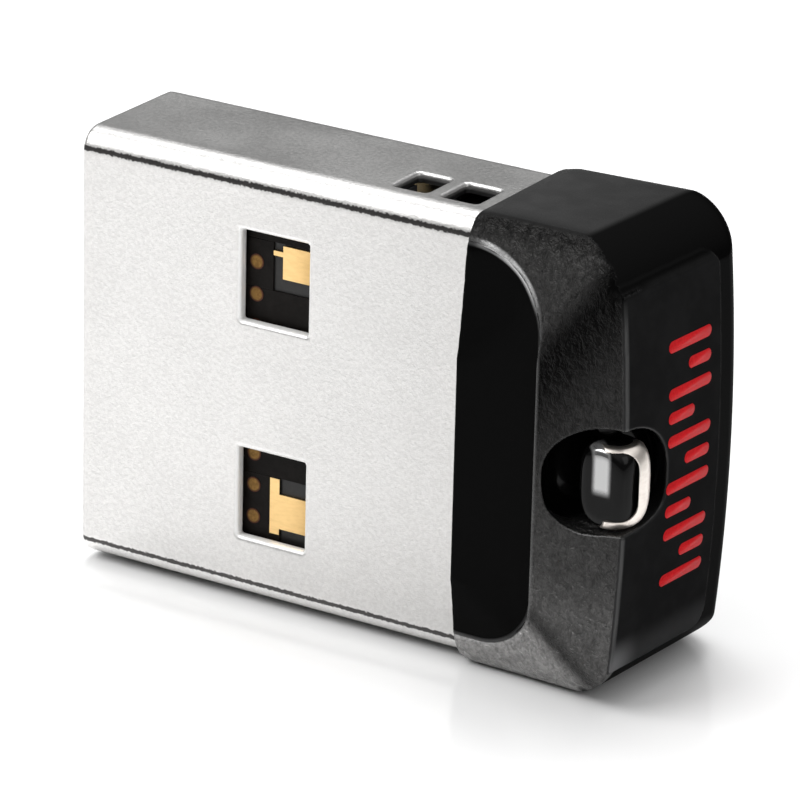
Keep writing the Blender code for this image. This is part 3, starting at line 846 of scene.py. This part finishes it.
def dress_nodes():
    """Materials for the CAD nodes that stay."""
    # The last pair is where along x the pads darken: painted shade.
    pad_gold = ((0.90, 0.62, 0.28), (0.42, 0.25, 0.09), 0.3, (6.2, 7.6))
    looks = {
        "carrier": plastic_look("carrier_plastic", (0.020, 0.020, 0.022), 0.45, 0.15),
        "module_board": plastic_look("board_core", (0.004, 0.0035, 0.003), 0.5, 0.15),
        "mould_body": plastic_look("mould_epoxy", (0.014, 0.014, 0.015), 0.55, 0.1),
        "gold_pad_upper": gold_look("pad_gold_upper", *pad_gold),
        "gold_pad_lower": gold_look("pad_gold_lower", *pad_gold),
    }
    contact = gold_look("contact_gold", (0.88, 0.66, 0.33), (0.55, 0.38, 0.16), 0.2)
    pad = pad_look()
    silicon = gold_look("die_silicon", (0.22, 0.23, 0.27), (0.16, 0.17, 0.20), 0.25)
    ceramic = plastic_look("capacitor_ceramic", (0.36, 0.25, 0.14), 0.45, 0.1)
    resistor = plastic_look("resistor_film", (0.02, 0.02, 0.02), 0.4, 0.1)
    lid = gold_look("oscillator_lid", (0.62, 0.62, 0.6), (0.45, 0.45, 0.44), 0.3)
    families = (("contact_", contact), ("test_pad_", pad), ("die", silicon), ("capacitor_", ceramic),
                ("resistor_", resistor), ("oscillator", lid))
    for name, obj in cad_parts.items():
        for word, found in families:
            if word in name:
                looks[name] = found
        if name in looks:
            obj.data.materials.clear()
            obj.data.materials.append(looks[name])
        if name.startswith("contact_") or name.startswith("gold_pad"):
            soften(obj, 0.03)


# ---------------------------------------------------------------- camera, floor and light

def camera():
    """Long lens from the front right, a little above, with a slight roll."""
    azimuth, elevation, roll = math.radians(31.25), math.radians(21.29), math.radians(1.44)
    aim, distance = spot(8.5053, 0.0, -0.3672), 0.1392376
    back = Vector((math.sin(azimuth) * math.cos(elevation), -math.cos(azimuth) * math.cos(elevation),
                   math.sin(elevation)))
    data = bpy.data.cameras.new("camera")
    data.lens = 241.29
    data.sensor_width = 36
    data.clip_start, data.clip_end = 0.01, 10
    obj = bpy.data.objects.new("camera", data)
    bpy.context.scene.collection.objects.link(obj)
    right = Vector((math.cos(azimuth), math.sin(azimuth), 0))
    up = back.cross(right)
    across = math.cos(roll) * right + math.sin(roll) * up
    above = math.cos(roll) * up - math.sin(roll) * right
    turn = Matrix((across, above, back)).transposed().to_4x4()
    obj.matrix_world = Matrix.Translation(aim + back * distance) @ turn
    bpy.context.scene.camera = obj


def area(name, place, width, height, radiance):
    """A soft box aimed at the middle of the drive."""
    data = bpy.data.lights.new(name, "AREA")
    data.shape = "RECTANGLE"
    data.size, data.size_y = width, height
    data.energy = radiance * math.pi * width * height
    obj = bpy.data.objects.new(name, data)
    bpy.context.scene.collection.objects.link(obj)
    obj.location = place
    obj.rotation_mode = "QUATERNION"
    obj.rotation_quaternion = (Vector((0, 0, 0.006)) - Vector(place)).to_track_quat("-Z", "Y")


def studio():
    """Floor, surrounding light that is brighter overhead, and three soft boxes."""
    mesh = bpy.data.meshes.new("floor")
    row = FLOOR_CELLS + 1
    steps = [-FLOOR_HALF + 2 * FLOOR_HALF * k / FLOOR_CELLS for k in range(row)]
    mesh.from_pydata([(x, y, cap_low.z - FLOOR_GAP) for x in steps for y in steps], [],
                     [(i * row + j, (i + 1) * row + j, (i + 1) * row + j + 1, i * row + j + 1)
                      for i in range(FLOOR_CELLS) for j in range(FLOOR_CELLS)])
    mesh.materials.append(floor_look())
    floor = bpy.data.objects.new("floor", mesh)
    bpy.context.scene.collection.objects.link(floor)
    world = bpy.data.worlds.new("studio")
    world.use_nodes = True
    tree = world.node_tree
    backdrop = tree.nodes["Background"]
    coords = tree.nodes.new("ShaderNodeTexCoord")
    split = tree.nodes.new("ShaderNodeSeparateXYZ")
    ramp = tree.nodes.new("ShaderNodeValToRGB")
    tree.links.new(coords.outputs["Generated"], split.inputs[0])
    tree.links.new(split.outputs[2], ramp.inputs[0])
    tree.links.new(ramp.outputs[0], backdrop.inputs["Color"])
    for element, position, grey in zip(ramp.color_ramp.elements, (0.30, 0.75), (0.17, 1.0)):
        element.position = position
        element.color = (grey, grey, grey, 1)
    backdrop.inputs["Strength"].default_value = 1.1
    bpy.context.scene.world = world
    area("key", (-0.16, -0.16, 0.24), 0.22, 0.16, 4.6)
    area("back", (-0.055, 0.095, 0.27), 0.18, 0.14, 6.5)
    area("fill", (0.25, -0.08, 0.16), 0.10, 0.16, 1.6)
    bpy.context.scene.view_settings.view_transform = "Standard"


camera()
studio()
cap_piece()
shell_piece()
crescent_highlight_piece()
mask_pieces()
mark_pieces()
dress_nodes()
